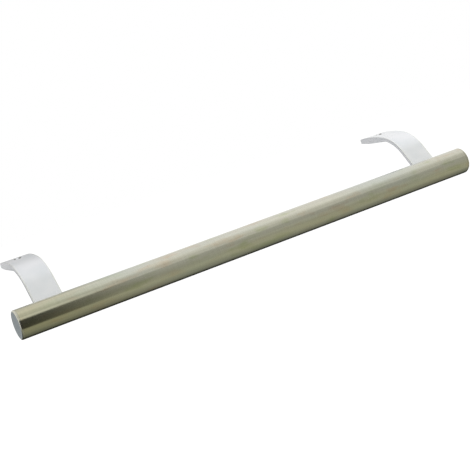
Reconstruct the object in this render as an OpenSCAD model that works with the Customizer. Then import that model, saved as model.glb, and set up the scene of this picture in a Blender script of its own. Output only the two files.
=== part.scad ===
// Refrigerator door handle: a round tube carried in front of the door by two
// curved arms, whose feet screw down on the side face of the door.
// X runs along the tube, Y runs from the tube to the feet and Z points away
// from the door's side face. The origin lies midway between the two fixing
// holes, in the plane of the feet's undersides. The tube lies at negative Z.

/* [Tube] */
// Outer diameter of the tube
bar_d = 20; // [18:0.5:24]
// Wall thickness of the tube
tube_wall = 1.2; // [0.8:0.1:1.6]
// Chamfer on the tube's end edges
tube_chamfer = 0.3; // [0.1:0.05:0.4]

/* [End caps] */
// Thickness of the cap's face that stands past the tube's end
cap_face = 1.4; // [1:0.1:3]
// Rounding of the cap's outer edge
cap_round = 0.9; // [0.3:0.1:0.9]
// Length of the spigot inside the tube
spigot_len = 9; // [5:0.5:10]
// Wall thickness of the hollow spigot
spigot_wall = 1.4; // [1:0.1:2]
// Height of the crush ribs on the spigot
rib_h = 0.35; // [0.2:0.05:0.6]
// Distance that a crush rib stops short of the spigot's end
rib_lead = 1; // [0.5:0.1:2]
// Width of one crush rib
rib_w = 0.9; // [0.5:0.1:1.5]
// Number of crush ribs round the spigot
rib_n = 8; // [4:1:12]

/* [Bracket placement] */
// Distance between the two fixing holes
hole_spacing = 315; // [120:1:800]
// Length of grip past each fixing hole, end cap included
overhang = 27.5; // [21:0.5:120]
// Distance along Y from the tube's axis to the fixing holes
reach = 57.5; // [54:0.5:61]
// Height of the feet's undersides over the tube's axis
rise = 29.3; // [27:0.1:31]

/* [Bracket form] */
// Width of a bracket along the tube
bracket_w = 20; // [16:0.5:26]
// Thickness of the arm
arm_t = 2.9; // [2.4:0.1:3.4]
// Slope of the arm's straight leg over the horizontal
arm_slope = 52.6; // [50:0.2:55]
// Distance from the tube's axis to the line of the leg's outer side
leg_offset = 3.2; // [2:0.1:4.5]
// Radius of the shoulder's outer side
bend_r = 34.4; // [31:0.2:37]
// Radius of the foot's crowned top
crown_r = 112; // [100:1:125]
// Distance from the fixing hole to the crown's highest line, towards the toe
crown_shift = 3; // [1:0.5:5]
// Greatest thickness of the foot, at the crown's highest line
foot_t = 5.3; // [4.8:0.1:6]
// Distance from the fixing hole to the tip of the toe
toe_len = 17.5; // [13:0.5:18.5]
// Rounding between the toe's top and its nose
toe_top_r = 3; // [2.2:0.1:3.2]
// Rounding between the toe's nose and its underside
toe_low_r = 0.6; // [0.3:0.1:0.8]
// Distance from the fixing hole to where the underside starts to rise
toe_flat = 4; // [3:0.5:8]
// Corner radius of the toe seen from above
toe_corner_r = 2.5; // [1:0.5:6]

/* [Fixing holes] */
// Diameter of the fixing hole through the foot
hole_d = 4.3; // [3.5:0.1:5]
// Diameter of the fixing hole's countersink at the surface
sink_d = 7.6; // [6.5:0.1:9]
// Depth of the countersink's cone
sink_depth = 1.7; // [1.2:0.1:2.2]

/* [Saddle] */
// Thickness of the saddle that hugs the tube's back
saddle_t = 3.6; // [3.4:0.1:5]
// Angle that the saddle reaches below the horizontal
saddle_low = 54; // [46:1:64]
// Rounding of the saddle's lower edge
saddle_corner_r = 2.4; // [1:0.1:3]
// Fillet between the saddle and the leg
saddle_fillet = 2; // [1:0.1:2.4]
// Play between the saddle and the tube
seat_gap = 0.05; // [0:0.01:0.2]

/* [Clamp screws] */
// Thread diameter of the screw that holds the tube
screw_d = 4; // [3:0.5:4]
// Diameter of the countersunk head
head_d = 8; // [6:0.5:8]
// Depth of the head under the saddle's outer side
head_sink = 0.7; // [0.65:0.05:1]
// Length of the screw, head included
screw_len = 12; // [10:0.5:14]
// Size of the hexagon socket across its flats
socket_af = 2.5; // [2:0.1:2.5]
// Depth of the hexagon socket
socket_depth = 1.9; // [1:0.1:2.2]
// Angle of the screw below the horizontal
screw_tilt = 14; // [13:1:18]
// Play round the screw in the saddle and in the tube's wall
screw_play = 0.25; // [0.1:0.05:0.4]
// Play round the screw in its threaded hole
thread_play = 0.05; // [0.02:0.01:0.1]

/* [Anchors] */
// Length of the threaded anchor inside the tube
anchor_len = 16; // [12:0.5:22]
// Play between the anchor and the tube's bore
anchor_play = 0.1; // [0.05:0.01:0.2]
// Width of the flat that clears the weld seam in the tube
anchor_flat = 7; // [4:0.5:9]

/* [Hidden] */
$fn = 96;
over = 1;
far = 200;
bar_r = bar_d / 2;
bore_r = bar_r - tube_wall;
hole_x = hole_spacing / 2;
tube_len = hole_spacing + 2 * (overhang - cap_face);

// Rest of the cap's sizes, from the tube that it plugs
spigot_r = bore_r - rib_h;

// The profile of a bracket is drawn round the tube's axis
leg_dir = [cos(arm_slope), sin(arm_slope)];
leg_normal = [sin(arm_slope), -cos(arm_slope)];
crown_centre = [reach + crown_shift, rise + foot_t - crown_r];
// The shoulder's circle touches the leg's outer line and the crown from inside
bend_line = leg_offset + bend_r;
bend_side = crown_centre * leg_normal - bend_line;
bend_along = sqrt(pow(crown_r - bend_r, 2) - pow(bend_side, 2));
bend_centre = crown_centre - bend_side * leg_normal + bend_along * leg_dir;
// The toe's top rounding touches the crown from inside
toe_y = reach + toe_len;
toe_round_y = toe_y - toe_top_r;
toe_round_z = crown_centre[1]
    + sqrt(pow(crown_r - toe_top_r, 2) - pow(toe_round_y - crown_centre[0], 2));

// Saddle
saddle_in = bar_r + seat_gap;
saddle_out = bar_r + saddle_t;
leg_in = leg_offset + arm_t;
fillet_side = leg_in + saddle_fillet;
fillet_along = sqrt(pow(saddle_out + saddle_fillet, 2) - pow(fillet_side, 2));
fillet_centre = fillet_side * leg_normal + fillet_along * leg_dir;

// Screws
head_top = saddle_out - head_sink;
head_h = (head_d - screw_d) / 2;
head_rim = 0.2;
anchor_r = bore_r - anchor_play;

// Carries a child drawn in the profile's plane (Y, Z) out along X
module along_x(width) {
    rotate([90, 0, 90])
        translate([0, 0, -width / 2])
            linear_extrude(height = width) children();
}

// Puts a child drawn round the tube's axis where the tube lies
module at_tube() {
    translate([0, -reach, -rise]) children();
}

// Puts a child whose axis is +X where a clamp screw's axis lies, head outwards
module at_screw() {
    rotate([-screw_tilt, 0, 0])
        rotate([0, 0, 90]) children();
}

// Points of an arc, from one angle to another
function arc(centre, radius, from, to, steps) =
    [for (i = [0 : steps])
        let (angle = from + (to - from) * i / steps)
        centre + radius * [cos(angle), sin(angle)]];

// Angle at which a point is seen from another
function angle_of(from, to) = atan2(to[1] - from[1], to[0] - from[0]);

// Section of a bracket: up the leg's outer side, over the shoulder and crown to
// the toe's nose, back along the underside, which is flat from under the fixing
// hole to the heel, and down the leg's inner side to the saddle
module bracket_profile() {
    leg_angle = 90 + arm_slope;
    joint_angle = angle_of(crown_centre, bend_centre);
    toe_angle = angle_of(crown_centre, [toe_round_y, toe_round_z]);
    shoulder_in = bend_r - arm_t;
    heel_angle = 180 - asin(min(1, (rise - bend_centre[1]) / shoulder_in));
    corner_r = saddle_out - saddle_corner_r;
    corner_angle = asin(saddle_corner_r / corner_r) - saddle_low;
    corner = corner_r * [cos(corner_angle), sin(corner_angle)];
    polygon(concat(
        [leg_offset * leg_normal],
        arc(bend_centre, bend_r, leg_angle, joint_angle, 24),
        arc(crown_centre, crown_r, joint_angle, toe_angle, 14),
        arc([toe_round_y, toe_round_z], toe_top_r, toe_angle, 0, 8),
        arc([toe_y - toe_low_r, toe_round_z], toe_low_r, 0, -90, 4),
        [[reach + toe_flat, rise]],
        arc(bend_centre, shoulder_in, heel_angle, leg_angle, 24),
        arc(fillet_centre, saddle_fillet, leg_angle, angle_of([0, 0], fillet_centre) + 180, 6),
        arc([0, 0], saddle_out, angle_of([0, 0], fillet_centre), corner_angle, 20),
        arc(corner, saddle_corner_r, corner_angle, -saddle_low - 90, 6),
        [[0, 0]]));
}

// Whole section of a bracket, as wide as the bracket, clear of the tube
module bracket_body() {
    difference() {
        along_x(bracket_w) bracket_profile();
        rotate([0, 90, 0])
            cylinder(h = bracket_w + 2 * over, r = saddle_in, center = true);
    }
}

// Outline of a bracket seen from above, with the toe's rounded corners
module bracket_plan() {
    corner_x = bracket_w / 2 - toe_corner_r;
    corner_y = toe_y - toe_corner_r;
    translate([-bracket_w / 2, -far])
        square([bracket_w, far + corner_y]);
    translate([-corner_x, -far])
        square([2 * corner_x, far + toe_y]);
    for (side = [-1, 1])
        translate([side * corner_x, corner_y]) circle(r = toe_corner_r);
}

// One bracket, centred on its fixing hole
module bracket() {
    at_tube() difference() {
        intersection() {
            bracket_body();
            translate([0, 0, -far]) linear_extrude(height = 2 * far) bracket_plan();
        }
        // Countersunk fixing hole through the foot
        translate([0, reach, rise - over])
            cylinder(h = foot_t + 2 * over, d = hole_d);
        translate([0, reach, rise + foot_t - sink_depth])
            cylinder(h = sink_depth, d1 = hole_d, d2 = sink_d);
        translate([0, reach, rise + foot_t])
            cylinder(h = over, d = sink_d);
        // Countersunk hole for the clamp screw through the saddle
        at_screw() {
            rotate([0, 90, 0]) {
                translate([0, 0, bar_r - over])
                    cylinder(h = saddle_t + over, d = screw_d + 2 * screw_play);
                translate([0, 0, head_top - head_rim - head_h])
                    cylinder(h = head_h, d1 = screw_d + 2 * screw_play, d2 = head_d + 2 * screw_play);
                translate([0, 0, head_top - head_rim])
                    cylinder(h = saddle_t, d = head_d + 2 * screw_play);
            }
        }
    }
}

// Tube with chamfered ends and a hole in its back for each clamp screw
module tube() {
    color("#b9b39c")
    at_tube() difference() {
        rotate([0, 90, 0])
            rotate_extrude()
                polygon([[bore_r, -tube_len / 2],
                    [bar_r - tube_chamfer, -tube_len / 2],
                    [bar_r, -tube_len / 2 + tube_chamfer],
                    [bar_r, tube_len / 2 - tube_chamfer],
                    [bar_r - tube_chamfer, tube_len / 2],
                    [bore_r, tube_len / 2]]);
        for (side = [-1, 1])
            translate([side * hole_x, 0, 0]) at_screw() rotate([0, 90, 0])
                cylinder(h = bar_r + over, d = screw_d + 2 * screw_play);
    }
}

// One end cap: round face, hollow spigot and crush ribs, its face towards +Z
module end_cap() {
    color("#a8a79d") {
        // Face with a rounded rim
        rotate_extrude() {
            square([bar_r - cap_round, cap_face]);
            square([bar_r, cap_face - cap_round]);
            intersection() {
                translate([bar_r - cap_round, cap_face - cap_round]) circle(r = cap_round);
                square([bar_r, cap_face]);
            }
        }
        difference() {
            union() {
                translate([0, 0, -spigot_len])
                    cylinder(h = spigot_len, r = spigot_r);
                for (i = [0 : rib_n - 1])
                    rotate([0, 0, i * 360 / rib_n])
                        intersection() {
                            translate([0, -rib_w / 2, rib_lead - spigot_len])
                                cube([bar_d, rib_w, spigot_len - rib_lead + cap_face / 2]);
                            translate([0, 0, -spigot_len])
                                cylinder(h = bar_d, r = bore_r);
                        }
            }
            translate([0, 0, -spigot_len - over])
                cylinder(h = spigot_len + over, r = spigot_r - spigot_wall);
        }
    }
}

// One threaded anchor: a slug in the tube's bore, flat on the side of the weld seam
module anchor() {
    flat_depth = sqrt(pow(anchor_r, 2) - pow(anchor_flat / 2, 2));
    color("#8f949a")
    at_tube() difference() {
        rotate([0, 90, 0])
            cylinder(h = anchor_len, r = anchor_r, center = true);
        translate([-anchor_len / 2 - over, -far - flat_depth, -far / 2])
            cube([anchor_len + 2 * over, far, far]);
        at_screw() rotate([0, 90, 0])
            cylinder(h = 2 * bar_r, d = screw_d + 2 * thread_play, center = true);
    }
}

// One clamp screw with a countersunk head and a hexagon socket
module clamp_screw() {
    socket_d = socket_af / cos(30);
    color("#a7abb0")
    at_tube() at_screw() rotate([0, 90, 0]) difference() {
        union() {
            translate([0, 0, head_top - screw_len])
                cylinder(h = screw_len - head_rim - head_h, d = screw_d);
            translate([0, 0, head_top - head_rim - head_h])
                cylinder(h = head_h, d1 = screw_d, d2 = head_d);
            translate([0, 0, head_top - head_rim])
                cylinder(h = head_rim, d = head_d);
        }
        translate([0, 0, head_top - socket_depth])
            cylinder(h = socket_depth + over, d = socket_d, $fn = 6);
    }
}

module end_cap_left() {
    at_tube() translate([-tube_len / 2, 0, 0]) rotate([0, -90, 0]) end_cap();
}

module end_cap_right() {
    at_tube() translate([tube_len / 2, 0, 0]) rotate([0, 90, 0]) end_cap();
}

module bracket_left() {
    color("#d9dadd") translate([-hole_x, 0, 0]) bracket();
}

module bracket_right() {
    color("#d9dadd") translate([hole_x, 0, 0]) bracket();
}

module anchor_left() {
    translate([-hole_x, 0, 0]) anchor();
}

module anchor_right() {
    translate([hole_x, 0, 0]) anchor();
}

module clamp_screw_left() {
    translate([-hole_x, 0, 0]) clamp_screw();
}

module clamp_screw_right() {
    translate([hole_x, 0, 0]) clamp_screw();
}

tube();
end_cap_left();
end_cap_right();
bracket_left();
bracket_right();
anchor_left();
anchor_right();
clamp_screw_left();
clamp_screw_right();
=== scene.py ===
import math

import bpy
from mathutils import Matrix, Vector


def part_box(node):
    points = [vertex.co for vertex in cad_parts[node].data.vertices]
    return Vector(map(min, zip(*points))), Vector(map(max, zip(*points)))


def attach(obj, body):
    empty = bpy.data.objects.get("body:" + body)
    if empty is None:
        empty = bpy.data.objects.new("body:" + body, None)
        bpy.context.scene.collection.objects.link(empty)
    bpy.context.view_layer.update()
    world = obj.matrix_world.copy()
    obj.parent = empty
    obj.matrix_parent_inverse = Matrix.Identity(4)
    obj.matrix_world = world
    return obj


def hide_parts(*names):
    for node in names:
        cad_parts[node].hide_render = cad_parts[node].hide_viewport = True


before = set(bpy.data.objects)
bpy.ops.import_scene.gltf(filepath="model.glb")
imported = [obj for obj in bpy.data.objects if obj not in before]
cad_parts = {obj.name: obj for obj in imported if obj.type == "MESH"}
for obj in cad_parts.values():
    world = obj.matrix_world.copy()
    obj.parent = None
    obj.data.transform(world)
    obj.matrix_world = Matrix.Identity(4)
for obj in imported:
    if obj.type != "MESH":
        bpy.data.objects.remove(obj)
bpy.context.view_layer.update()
print("frame loaded:", len(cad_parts), "nodes")

mm = 0.001
scene = bpy.context.scene


# places read from the frame

tubeLow, tubeHigh = (Vector(corner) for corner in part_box("tube"))
tubeAxis = (tubeLow + tubeHigh) / 2
tubeRadius = (tubeHigh.z - tubeLow.z) / 2
tubeLength = tubeHigh.x - tubeLow.x
sides = {"left": -1, "right": 1}
rowUp = Vector((0, 0, 1))
bracketLow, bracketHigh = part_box("bracket_right")
holeOffset = (bracketLow[0] + bracketHigh[0]) / 2
bracketHalf = holeOffset - bracketLow[0]


# small helpers for modelling by hand

def clearSelection():
    if bpy.context.object and bpy.context.object.mode != "OBJECT":
        bpy.ops.object.mode_set(mode="OBJECT")
    bpy.ops.object.select_all(action="DESELECT")


def pick(piece):
    clearSelection()
    piece.select_set(True)
    bpy.context.view_layer.objects.active = piece


def named(name):
    piece = bpy.context.object
    piece.name = name
    piece.data.name = name
    return piece


def settle(piece):
    # the piece's place goes into its mesh
    pick(piece)
    bpy.ops.object.transform_apply(location=True, rotation=True, scale=True)
    return piece


def editFaces(piece, wanted):
    # goes into edit mode with only the wanted faces selected
    pick(piece)
    bpy.ops.object.mode_set(mode="EDIT")
    bpy.ops.mesh.select_mode(type="FACE")
    bpy.ops.mesh.select_all(action="DESELECT")
    bpy.ops.object.mode_set(mode="OBJECT")
    for face in piece.data.polygons:
        face.select = wanted(face)
    bpy.ops.object.mode_set(mode="EDIT")


def useModifier(piece, kind, **settings):
    pick(piece)
    modifier = piece.modifiers.new(kind.title(), kind)
    for key, value in settings.items():
        setattr(modifier, key, value)
    bpy.ops.object.modifier_apply(modifier=modifier.name)


def smooth(piece, angle=32):
    # broad faces keep their own normals, so only the small edge rounds turn
    pick(piece)
    bpy.ops.object.shade_smooth_by_angle(angle=math.radians(angle))
    useModifier(piece, "WEIGHTED_NORMAL", keep_sharp=True, weight=80)


def combine(piece, other, operation):
    useModifier(piece, "BOOLEAN", operation=operation, object=other, solver="EXACT")
    pick(other)
    bpy.ops.object.delete()


def copyOfNode(node, name):
    # a joined copy of a CAD node's loose triangles, with its flat faces made whole again
    pick(bpy.data.objects[node])
    bpy.ops.object.duplicate()
    piece = named(name)
    bpy.ops.object.mode_set(mode="EDIT")
    bpy.ops.mesh.select_all(action="SELECT")
    bpy.ops.mesh.remove_doubles(threshold=0.002 * mm)
    bpy.ops.mesh.dissolve_limited(angle_limit=math.radians(0.4), delimit={"NORMAL"})
    bpy.ops.object.mode_set(mode="OBJECT")
    return piece


# shader maths on wrapped sockets

def grey(level):
    return (level, level, level)


def opaque(colour):
    return (*colour, 1)


class Wire:
    def __init__(self, shade, socket):
        self.shade = shade
        self.socket = socket

    def maths(self, operation, first, second):
        return self.shade.node("ShaderNodeMath", {"operation": operation}, {0: first, 1: second})

    def __add__(self, other):
        return self.maths("ADD", self, other)

    def __radd__(self, other):
        return self.maths("ADD", other, self)

    def __sub__(self, other):
        return self.maths("SUBTRACT", self, other)

    def __rsub__(self, other):
        return self.maths("SUBTRACT", other, self)

    def __mul__(self, other):
        return self.maths("MULTIPLY", self, other)

    def __rmul__(self, other):
        return self.maths("MULTIPLY", other, self)


class Shade:
    def __init__(self, name):
        self.material = bpy.data.materials.new(name)
        self.material.use_nodes = True
        self.tree = self.material.node_tree
        self.tree.nodes.clear()

    def node(self, kind, settings=None, sockets=None, out=0):
        made = self.tree.nodes.new(kind)
        for key, value in (settings or {}).items():
            if key == "stops":
                ramp = made.color_ramp
                while len(ramp.elements) < len(value):
                    ramp.elements.new(0.5)
                for element, (position, colour) in zip(ramp.elements, value):
                    element.position = position
                    element.color = opaque(colour)
            else:
                setattr(made, key, value)
        for key, value in (sockets or {}).items():
            if isinstance(value, Wire):
                self.tree.links.new(value.socket, made.inputs[key])
            else:
                made.inputs[key].default_value = value
        return Wire(self, made.outputs[out])

    def place(self, scale):
        # object coordinates, stretched along each axis
        spot = self.node("ShaderNodeTexCoord", out="Object")
        return self.node("ShaderNodeVectorMath", {"operation": "MULTIPLY"}, {0: spot, 1: scale})

    def noise(self, scale, detail=3.0, roughness=0.55):
        return self.node("ShaderNodeTexNoise", {}, {
            "Vector": self.place(scale), "Scale": 1.0, "Detail": detail, "Roughness": roughness})

    def parts(self, vector):
        split = self.tree.nodes.new("ShaderNodeSeparateXYZ")
        self.tree.links.new(vector.socket, split.inputs[0])
        return [Wire(self, socket) for socket in split.outputs]

    def size(self, value):
        return self.node("ShaderNodeMath", {"operation": "ABSOLUTE"}, {0: value})

    def rise(self, value, start, end):
        # 0 before start, 1 after end
        return self.node("ShaderNodeMapRange", {"interpolation_type": "SMOOTHSTEP"},
                         {"Value": value, "From Min": start, "From Max": end})

    def ramp(self, value, stops):
        return self.node("ShaderNodeValToRGB", {"stops": stops}, {"Fac": value})

    def blend(self, factor, first, second, mode="MIX"):
        return self.node("ShaderNodeMix", {"data_type": "RGBA", "blend_type": mode},
                         {0: factor, 6: first, 7: second}, out=2)

    def bump(self, height, strength, distance, normal=None):
        sockets = {"Height": height, "Strength": strength, "Distance": distance}
        if normal:
            sockets["Normal"] = normal
        return self.node("ShaderNodeBump", {}, sockets)

    def finish(self, **sockets):
        sockets = {key.replace("_", " "): value for key, value in sockets.items()}
        surface = self.node("ShaderNodeBsdfPrincipled", {}, sockets)
        self.nodeOutput(surface)
        return self.material

    def nodeOutput(self, surface):
        end = self.tree.nodes.new("ShaderNodeOutputMaterial")
        self.tree.links.new(surface.socket, end.inputs["Surface"])


# camera, solved from the photograph, in the handle's own frame

view = {
    "place": (-0.3174, -0.7028, 0.0751),
    "right": (0.85447, -0.43604, -0.28242),
    "up": (0.31382, 0.0, 0.94949),
    "lens": 78.36,
    "sensor": 36.0,
    "clipStart": 0.01,
}


def setCamera():
    data = bpy.data.cameras.new("camera")
    camera = bpy.data.objects.new("camera", data)
    scene.collection.objects.link(camera)
    right = Vector(view["right"]).normalized()
    up = Vector(view["up"])
    back = right.cross(up).normalized()
    up = back.cross(right)
    turn = Matrix((right, up, back)).transposed().to_4x4()
    camera.matrix_world = Matrix.Translation(view["place"]) @ turn
    data.sensor_width = view["sensor"]
    data.lens = view["lens"]
    data.clip_start = view["clipStart"]
    scene.camera = camera


setCamera()
print("camera set")


# tube: brushed stainless steel, hollow, with chamfered ends and two clamp holes

tubeLook = {
    "wall": 1.2 * mm,
    "chamfer": 0.3 * mm,
    "segments": 160,
    "holeRadius": 2.25 * mm,
    "holeFacets": 48,
    "champagne": (0.675, 0.650, 0.565),
    "olive": (0.560, 0.575, 0.405),
    "brown": (0.660, 0.555, 0.440),
    "grey": (0.615, 0.650, 0.625),
    "greyShare": 0.7,
    "lineShade": 0.85,
    "roughness": 0.17,
    # painted warm light over the tube's left end, not a tint of the steel
    "paintedWarmLight": (1.0, 0.98, 0.84),
    "warmFrom": -0.175,
    "warmTo": -0.085,
    # how many times each pattern changes per metre along x, y and z
    "patches": (42, 130, 130),
    "tints": (11, 60, 60),
    "fineLines": (40, 4200, 4200),
    "coarseLines": (9, 420, 420),
    "crossLines": (900, 60, 60),
}


def tubeMaterial():
    s = Shade("brushedTube")
    patches = s.noise(tubeLook["patches"], detail=3.0)
    tints = s.noise(tubeLook["tints"], detail=2.0)
    fine = s.noise(tubeLook["fineLines"], detail=4.0, roughness=0.7)
    coarse = s.noise(tubeLook["coarseLines"], detail=3.0)
    across = s.noise(tubeLook["crossLines"], detail=2.0)
    colour = s.ramp(patches, [(0.30, tubeLook["olive"]), (0.46, tubeLook["champagne"]),
                              (0.56, tubeLook["champagne"]), (0.72, tubeLook["brown"])])
    tinted = s.ramp(tints, [(0.45, grey(0)), (0.70, grey(tubeLook["greyShare"]))])
    colour = s.blend(tinted, colour, opaque(tubeLook["grey"]))
    lines = s.ramp(coarse * 0.5 + fine * 0.25 + across * 0.25,
                   [(0.37, grey(tubeLook["lineShade"])), (0.62, grey(1))])
    colour = s.blend(1.0, colour, lines, "MULTIPLY")
    # warmer towards the left end, as in the photograph
    # painted warm light: the colour is warmed here to stand for warmer light on that end, not a
    # tint of the steel
    x = s.parts(s.node("ShaderNodeTexCoord", out="Object"))[0]
    warmLightShare = 1.0 - s.rise(x, tubeLook["warmFrom"], tubeLook["warmTo"])
    colour = s.blend(warmLightShare, colour, opaque(tubeLook["paintedWarmLight"]), "MULTIPLY")
    roughness = tubeLook["roughness"] + (fine - 0.5) * 0.16 + (patches - 0.5) * 0.10
    normal = s.bump(fine * 0.6 + coarse * 0.4, 0.10, 0.1 * mm)
    return s.finish(Base_Color=colour, Metallic=1.0, Roughness=roughness, Normal=normal)


def makeTube():
    clearSelection()
    bpy.ops.mesh.primitive_cylinder_add(
        vertices=tubeLook["segments"], radius=tubeRadius, depth=tubeLength,
        end_fill_type="NOTHING", location=tubeAxis, rotation=(0, math.pi / 2, 0))
    piece = settle(named("brushed_tube"))
    useModifier(piece, "SOLIDIFY", thickness=tubeLook["wall"], offset=-1.0, use_even_offset=True)
    useModifier(piece, "BEVEL", width=tubeLook["chamfer"], segments=2, limit_method="ANGLE",
                angle_limit=math.radians(60))
    for side in sides:
        low, high = (Vector(corner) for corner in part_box("clamp_screw_" + side))
        start = Vector(((low.x + high.x) / 2, tubeAxis.y, tubeAxis.z))
        along = screwDirection(side)
        clearSelection()
        bpy.ops.mesh.primitive_cylinder_add(
            vertices=tubeLook["holeFacets"], radius=tubeLook["holeRadius"],
            depth=tubeRadius * 1.2, location=start + along * tubeRadius,
            rotation=rowUp.rotation_difference(along).to_euler())
        combine(piece, settle(named("drill")), "DIFFERENCE")
    piece.data.materials.clear()
    piece.data.materials.append(tubeMaterial())
    smooth(piece)
    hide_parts("tube")
    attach(piece, "root")


def screwDirection(side):
    # from the tube's axis towards the middle of the clamp screw
    low, high = (Vector(corner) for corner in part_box("clamp_screw_" + side))
    middle = (low + high) / 2
    return Vector((0, middle.y - tubeAxis.y, middle.z - tubeAxis.z)).normalized()


# brackets: satin silver castings with softened edges

bracketLook = {
    "edge": 0.65 * mm,
    "edgeSteps": 3,
    "edgeAngle": math.radians(38),
    "silver": (0.870, 0.870, 0.905),
    "shade": (0.800, 0.815, 0.855),
    "metallic": 0.7,
    "roughness": 0.34,
    # painted highlight colour for the long edge rounds
    "paintedHighlight": (0.985, 0.980, 0.940),
    # painted shade colour for the countersink's side walls
    "countersinkShade": (0.260, 0.255, 0.240),
    # the marks lie between these distances left and right of the hole's middle
    "countersinkShadeNear": 1.0 * mm,
    "countersinkShadeFar": 2.7 * mm,
    "countersinkShadeWide": 3.5 * mm,
    "countersinkShadeLow": 3.2 * mm,
    "blend": 0.4 * mm,
    "cloud": (55, 55, 55),
    "grain": (2600, 2600, 2600),
    "ripple": (420, 420, 420),
}


def bracketMaterial():
    s = Shade("satinSilver")
    cloud = s.noise(bracketLook["cloud"], detail=2.0)
    grain = s.noise(bracketLook["grain"], detail=3.0, roughness=0.6)
    ripple = s.noise(bracketLook["ripple"], detail=2.0)
    colour = s.ramp(cloud, [(0.35, bracketLook["shade"]), (0.62, bracketLook["silver"])])
    x, y, z = s.parts(s.node("ShaderNodeTexCoord", out="Object"))
    aside = s.size(s.size(x) - holeOffset)
    # painted highlight: the long edge rounds are coloured brighter than the faces, and are also
    # made smoother and fully metallic
    start = bracketHalf - bracketLook["edge"]
    highlightAndPolish = s.rise(aside, start, start + 0.15 * mm)
    highlightAndPolish = highlightAndPolish * (1.0 - s.rise(aside, bracketHalf - 0.10 * mm, bracketHalf - 0.02 * mm))
    colour = s.blend(highlightAndPolish * 0.85, colour, opaque(bracketLook["paintedHighlight"]))
    # painted shade: the countersink's walls are darkened in the colour where the hole lies in
    # shade
    # dark marks in the countersink, left and right, placed to show as in the photograph
    soft, near, far, low, wide = (
        bracketLook[key] for key in ("blend", "countersinkShadeNear", "countersinkShadeFar", "countersinkShadeLow", "countersinkShadeWide"))
    countersinkShade = (s.rise(aside, near - soft, near + soft)
             * (1.0 - s.rise(aside, far - soft, far + soft))
             * (1.0 - s.rise(s.size(y), wide, wide + 0.3 * mm))
             * s.rise(z, low, low + soft))
    colour = s.blend(countersinkShade, colour, opaque(bracketLook["countersinkShade"]))
    roughness = (bracketLook["roughness"] + (grain - 0.5) * 0.14 + (cloud - 0.5) * 0.08
                 - highlightAndPolish * 0.12)
    metallic = bracketLook["metallic"] + highlightAndPolish * (1 - bracketLook["metallic"])
    normal = s.bump(grain * 0.5 + ripple * 0.5, 0.12, 0.05 * mm)
    return s.finish(Base_Color=colour, Metallic=metallic, Roughness=roughness, Normal=normal)


def makeBrackets():
    material = bracketMaterial()
    for side in sides:
        piece = copyOfNode("bracket_" + side, "cast_bracket_" + side)
        useModifier(piece, "BEVEL", width=bracketLook["edge"], segments=bracketLook["edgeSteps"],
                    limit_method="ANGLE", angle_limit=bracketLook["edgeAngle"],
                    use_clamp_overlap=True)
        piece.data.materials.clear()
        piece.data.materials.append(material)
        smooth(piece)
        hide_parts("bracket_" + side)
        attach(piece, "root")


# end caps: plated discs with a rounded rim, a satin grey face and a hollow ribbed spigot

capLook = {
    "facets": 128,
    "face": 1.4 * mm,
    "round": 0.9 * mm,
    "roundSteps": 6,
    "spigotRadius": 8.45 * mm,
    "spigotWall": 1.4 * mm,
    "spigotLength": 9.0 * mm,
    "ribs": 8,
    "rib": (8.0 * mm, 0.9 * mm, 0.6 * mm),
    "ribTop": 8.78 * mm,
    "ribOverlap": 0.2 * mm,
    "grey": (0.255, 0.295, 0.315),
    "pale": (0.300, 0.340, 0.355),
    "rim": (0.660, 0.640, 0.555),
    "rimBlend": 0.1 * mm,
    "roughness": 0.36,
    "cloud": (160, 160, 160),
    "pores": (3200, 3200, 3200),
}


def capMaterial():
    s = Shade("platedCap")
    cloud = s.noise(capLook["cloud"], detail=2.0)
    pores = s.noise(capLook["pores"], detail=2.0)
    spot = s.node("ShaderNodeTexCoord", out="Object")
    spot = s.node("ShaderNodeVectorMath", {"operation": "SUBTRACT"}, {0: spot, 1: tubeAxis})
    spot = s.node("ShaderNodeVectorMath", {"operation": "MULTIPLY"}, {0: spot, 1: (0, 1, 1)})
    radius = s.node("ShaderNodeVectorMath", {"operation": "LENGTH"}, {0: spot}, out="Value")
    edge = tubeRadius - capLook["round"]
    rim = s.rise(radius, edge - capLook["rimBlend"], edge + capLook["rimBlend"])
    colour = s.ramp(cloud, [(0.3, capLook["grey"]), (0.7, capLook["pale"])])
    colour = s.blend(rim, colour, opaque(capLook["rim"]))
    roughness = capLook["roughness"] + (pores - 0.5) * 0.2 - rim * 0.16
    normal = s.bump(pores, 0.12, 0.03 * mm)
    return s.finish(Base_Color=colour, Metallic=rim, Roughness=roughness, Normal=normal)


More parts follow.
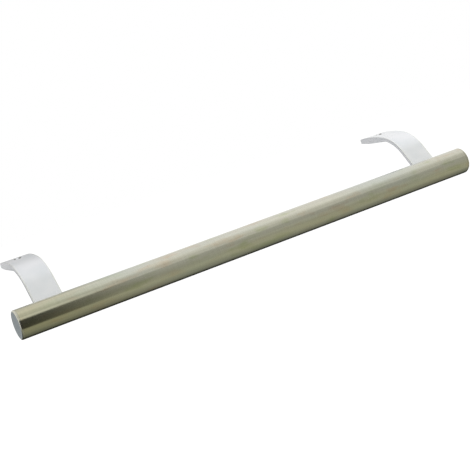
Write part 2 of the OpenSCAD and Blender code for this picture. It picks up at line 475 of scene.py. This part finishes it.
def makeCap(side, material):
    out = sides[side]
    low, high = (Vector(corner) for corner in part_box("end_cap_" + side))
    faceX = high.x if out > 0 else low.x
    clearSelection()
    bpy.ops.mesh.primitive_cylinder_add(
        vertices=capLook["facets"], radius=tubeRadius, depth=capLook["face"],
        end_fill_type="NGON", rotation=(0, math.pi / 2, 0),
        location=(faceX - out * capLook["face"] / 2, tubeAxis.y, tubeAxis.z))
    piece = settle(named("plated_cap_" + side))
    editFaces(piece, lambda face: face.normal.x * out > 0.9)
    bpy.ops.mesh.bevel(offset=capLook["round"], segments=capLook["roundSteps"], affect="EDGES")
    editFaces(piece, lambda face: face.normal.x * out < -0.9)
    bpy.ops.mesh.inset(thickness=tubeRadius - capLook["spigotRadius"])
    reach = out * capLook["spigotLength"]
    bpy.ops.mesh.extrude_region_move(TRANSFORM_OT_translate={"value": (-reach, 0, 0)})
    bpy.ops.mesh.inset(thickness=capLook["spigotWall"])
    bpy.ops.mesh.extrude_region_move(TRANSFORM_OT_translate={"value": (reach, 0, 0)})
    bpy.ops.object.mode_set(mode="OBJECT")
    length, width, height = capLook["rib"]
    ribX = faceX - out * (capLook["face"] + length / 2 - capLook["ribOverlap"])
    for count in range(capLook["ribs"]):
        turn = Matrix.Rotation(math.tau * count / capLook["ribs"], 3, "X")
        place = turn @ Vector((0, 0, capLook["ribTop"] - height / 2))
        clearSelection()
        bpy.ops.mesh.primitive_cube_add(
            size=1, location=(ribX, tubeAxis.y + place.y, tubeAxis.z + place.z),
            rotation=turn.to_euler(), scale=(length, width, height))
        combine(piece, settle(named("rib")), "UNION")
    piece.data.materials.clear()
    piece.data.materials.append(material)
    smooth(piece)
    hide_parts("end_cap_" + side)
    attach(piece, "root")


# anchors and clamp screws: CAD nodes kept as they are, with plated steel on them

steelLook = {
    "anchor": (0.52, 0.54, 0.56),
    "anchorRoughness": 0.36,
    "screw": (0.58, 0.59, 0.60),
    "screwRoughness": 0.28,
    "stainShade": 0.8,
    "turning": (900, 900, 900),
    "stain": (260, 260, 260),
}


def dressNode(node, material):
    holder = bpy.data.objects[node]
    holder.data.materials.clear()
    holder.data.materials.append(material)


def steelMaterial(name, colour, roughness):
    s = Shade(name)
    turned = s.noise(steelLook["turning"], detail=3.0)
    stain = s.noise(steelLook["stain"], detail=2.0)
    darker = [value * steelLook["stainShade"] for value in colour]
    stained = s.ramp(stain, [(0.4, grey(0)), (0.75, grey(0.5))])
    tone = s.blend(stained, opaque(colour), opaque(darker))
    normal = s.bump(turned, 0.1, 0.05 * mm)
    roughness = roughness + (turned - 0.5) * 0.2
    return s.finish(Base_Color=tone, Metallic=1.0, Roughness=roughness, Normal=normal)


makeTube()
print("tube made")
makeBrackets()
print("brackets made")

capFinish = capMaterial()
for side in sides:
    makeCap(side, capFinish)
print("caps made")

anchorFinish = steelMaterial("platedAnchor", steelLook["anchor"], steelLook["anchorRoughness"])
screwFinish = steelMaterial("platedScrew", steelLook["screw"], steelLook["screwRoughness"])
for side in sides:
    dressNode("anchor_" + side, anchorFinish)
    dressNode("clamp_screw_" + side, screwFinish)
print("small pieces dressed")


# studio: pale floor below, soft light from above, and a graded sweep that only the shine sees

studio = {
    "floorDrop": 0.45,
    "floorSize": 12.0,
    "floorColour": (0.90, 0.90, 0.90),
    "floorGlow": 0.45,
    "ambient": 0.70,
    "lampPlace": (-0.2, -0.55, 1.2),
    "lampSize": (1.6, 1.0),
    "lampPower": 8.0,
}

sweep = {
    "radius": 0.43,
    "left": -1.2,
    "right": 1.4,
    "facets": 120,
    "from": -12,
    "to": 345,
    # grey seen at each angle round the tube, with its red and blue shares: 90 is overhead,
    # 180 the camera's side, 270 below. Set by comparing the tube with the photograph
    "levels": [(0, 0.91, 0.99, 0.97), (30, 0.94, 0.99, 0.97), (60, 1.00, 0.99, 0.98),
               (90, 1.00, 0.98, 0.96), (109, 0.80, 0.98, 0.93), (128, 0.66, 0.98, 0.91),
               (140, 0.68, 0.98, 0.92),
               (146, 0.49, 0.97, 0.90), (169, 0.46, 0.97, 0.88), (190, 0.445, 0.97, 0.82),
               (209, 0.44, 0.98, 0.76), (229, 0.455, 0.98, 0.74), (249, 0.395, 0.98, 0.75),
               (269, 0.29, 0.98, 0.78), (289, 0.21, 0.98, 0.80), (303, 0.05, 0.98, 0.80),
               (345, 0.02, 0.98, 0.85), (348, 0.50, 0.99, 0.98), (359, 0.62, 0.99, 0.98)],
    # share of it that is lost towards the handle's left end
    "fade": [(0, 0.60), (9, 0.66), (16, 0.52), (30, 0.42), (50, 0.20), (145, 0.18),
             (147, 0.90), (211, 0.90), (217, 0.26), (289, 0.20), (345, 0.0)],
    "fadeEdge": (-0.095, 0.08),
    # overhead the loss ends again further out, and behind the handle it starts only there
    "fadeOuter": (-0.20, -0.14),
    "overhead": [(0, 1.0), (55, 1.0), (65, 0.0)],
    "behind": [(340, 0.0), (347, 0.35)],
    # a narrow brighter line towards the left end
    "glint": [(121, 0.0), (128, 0.22), (138, 0.22), (143, 0.0)],
}


def makeFloor():
    clearSelection()
    bpy.ops.mesh.primitive_plane_add(
        size=studio["floorSize"], location=(0, 0, tubeLow.z - studio["floorDrop"]))
    floor = settle(named("floor"))
    s = Shade("paleFloor")
    rays = s.tree.nodes.new("ShaderNodeLightPath")
    seen = Wire(s, rays.outputs["Is Camera Ray"]) + Wire(s, rays.outputs["Is Glossy Ray"])
    below = s.node("ShaderNodeNewGeometry", out="Backfacing")
    lit = s.node("ShaderNodeBsdfDiffuse", {}, {"Color": opaque(studio["floorColour"])})
    white = s.node("ShaderNodeEmission", {}, {
        "Color": opaque(grey(1)), "Strength": studio["floorGlow"]})
    both = s.node("ShaderNodeAddShader", {}, {0: lit, 1: white})
    shown = s.node("ShaderNodeMixShader", {}, {0: seen, 1: lit, 2: both})
    clear = s.node("ShaderNodeBsdfTransparent")
    s.nodeOutput(s.node("ShaderNodeMixShader", {}, {0: below, 1: shown, 2: clear}))
    floor.data.materials.append(s.material)


def makeSweep():
    # a curved card round the tube, open at the back
    clearSelection()
    length = sweep["right"] - sweep["left"]
    middle = (sweep["right"] + sweep["left"]) / 2
    bpy.ops.mesh.primitive_cylinder_add(
        vertices=sweep["facets"], radius=sweep["radius"], depth=length, end_fill_type="NOTHING",
        location=(middle, tubeAxis.y, tubeAxis.z), rotation=(0, math.pi / 2, 0))
    card = settle(named("grey_sweep"))

    def outside(face):
        spot = face.center - tubeAxis
        angle = math.degrees(math.atan2(spot.z, spot.y)) % 360
        return sweep["to"] < angle < sweep["from"] + 360

    editFaces(card, outside)
    bpy.ops.mesh.delete(type="FACE")
    bpy.ops.object.mode_set(mode="OBJECT")
    card.visible_camera = False
    card.visible_diffuse = False
    card.visible_shadow = False
    card.visible_transmission = False

    s = Shade("greySweep")
    x, y, z = s.parts(s.node("ShaderNodeTexCoord", out="Object"))
    angle = s.node("ShaderNodeMath", {"operation": "ARCTAN2"},
                   {0: z - tubeAxis.z, 1: y - tubeAxis.y})
    turn = s.node("ShaderNodeMath", {"operation": "FRACT"}, {0: angle * (0.5 / math.pi) + 1.0})
    colour = s.ramp(turn, [(degrees / 360, (level * red, level, level * blue))
                           for degrees, level, red, blue in sweep["levels"]])
    fade, glint, overhead, behind = (
        s.ramp(turn, [(degrees / 360, grey(share)) for degrees, share in sweep[key]])
        for key in ("fade", "glint", "overhead", "behind"))
    outer = 1.0 - s.rise(x, *sweep["fadeOuter"])
    side = (1.0 - s.rise(x, *sweep["fadeEdge"])) * (1.0 - overhead * outer)
    shown = s.blend(side * fade + outer * behind, colour, opaque(grey(0)))
    shown = s.blend(side * glint, shown, opaque(grey(1)), "ADD")
    s.nodeOutput(s.node("ShaderNodeEmission", {}, {"Color": shown, "Strength": 1.0}))
    card.data.materials.append(s.material)


def makeWorld():
    world = bpy.data.worlds.new("studioWorld")
    scene.world = world
    world.use_nodes = True
    tree = world.node_tree
    tree.nodes.clear()
    rays = tree.nodes.new("ShaderNodeLightPath")
    seen = tree.nodes.new("ShaderNodeMath")
    seen.operation = "MAXIMUM"
    tree.links.new(rays.outputs["Is Camera Ray"], seen.inputs[0])
    tree.links.new(rays.outputs["Is Glossy Ray"], seen.inputs[1])
    strength = tree.nodes.new("ShaderNodeMapRange")
    tree.links.new(seen.outputs[0], strength.inputs["Value"])
    strength.inputs["To Min"].default_value = studio["ambient"]
    strength.inputs["To Max"].default_value = 1.0
    background = tree.nodes.new("ShaderNodeBackground")
    tree.links.new(strength.outputs["Result"], background.inputs["Strength"])
    background.inputs["Color"].default_value = opaque(grey(1))
    end = tree.nodes.new("ShaderNodeOutputWorld")
    tree.links.new(background.outputs[0], end.inputs[0])


def addLamp(name):
    data = bpy.data.lights.new(name, "AREA")
    data.shape = "RECTANGLE"
    data.size, data.size_y = studio["lampSize"]
    data.energy = studio["lampPower"]
    lamp = bpy.data.objects.new(name, data)
    scene.collection.objects.link(lamp)
    lamp.location = studio["lampPlace"]
    lamp.visible_glossy = False
    lamp.rotation_euler = (tubeAxis - lamp.location).to_track_quat("-Z", "Y").to_euler()


makeFloor()
makeSweep()
makeWorld()
addLamp("overhead")
scene.view_settings.view_transform = "Standard"
print("studio set")
